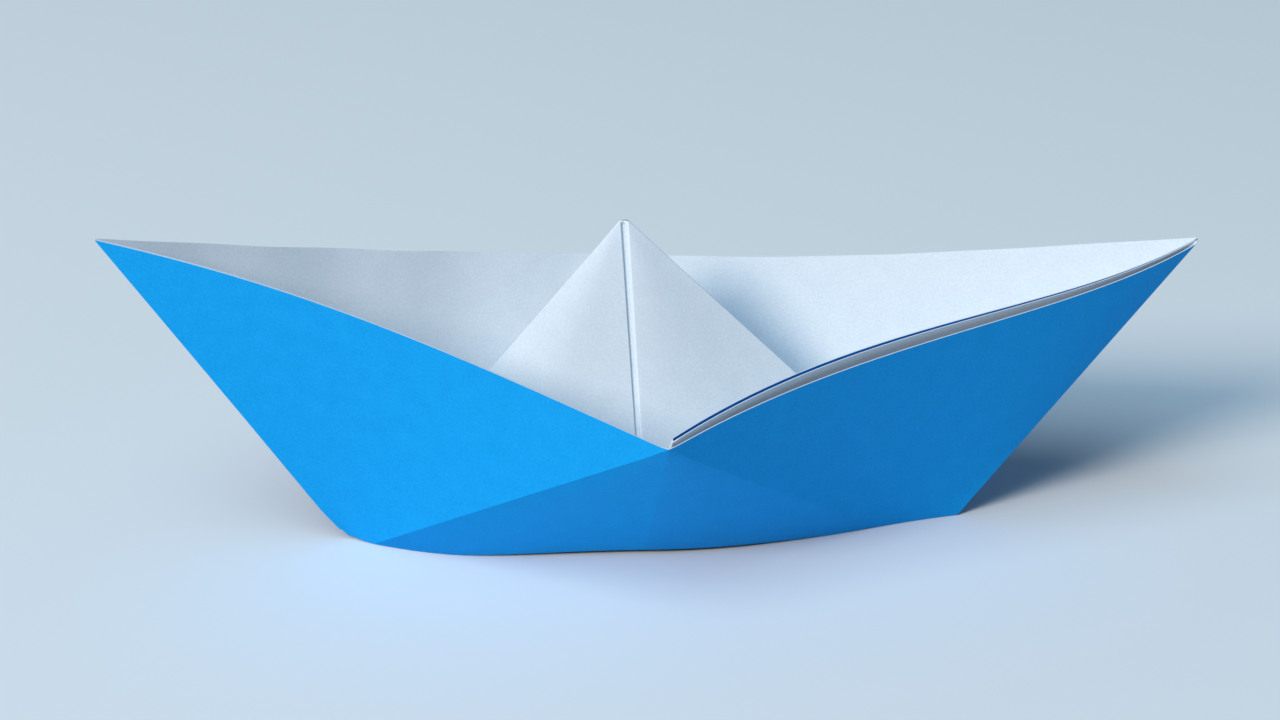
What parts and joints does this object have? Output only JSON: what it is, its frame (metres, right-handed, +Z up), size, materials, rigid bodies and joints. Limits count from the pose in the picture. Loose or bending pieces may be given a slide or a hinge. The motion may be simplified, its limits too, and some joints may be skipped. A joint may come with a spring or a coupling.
{
  "type": "origami sailboat",
  "caption": "Sailboat folded from one square of two-colour paper: pointed blue hull with a white inside, open wells and a white triangular sail in the middle",
  "frame": {"origin": "on the table plane, midway between the two feet where the end folds meet the bottom folds", "axes": "+X along the boat from the bow to the stern (the left and right ends as seen from the near side), +Y from the near side, with its three leaves, to the far side, +Z up"},
  "size_m": [0.137, 0.0487, 0.0423],
  "materials": {
    "paper": "matt, blue on one side of the sheet and white on the other"
  },
  "bodies": {
    "root": {"folded_sheet": "paper"}
  },
  "joints": []
}
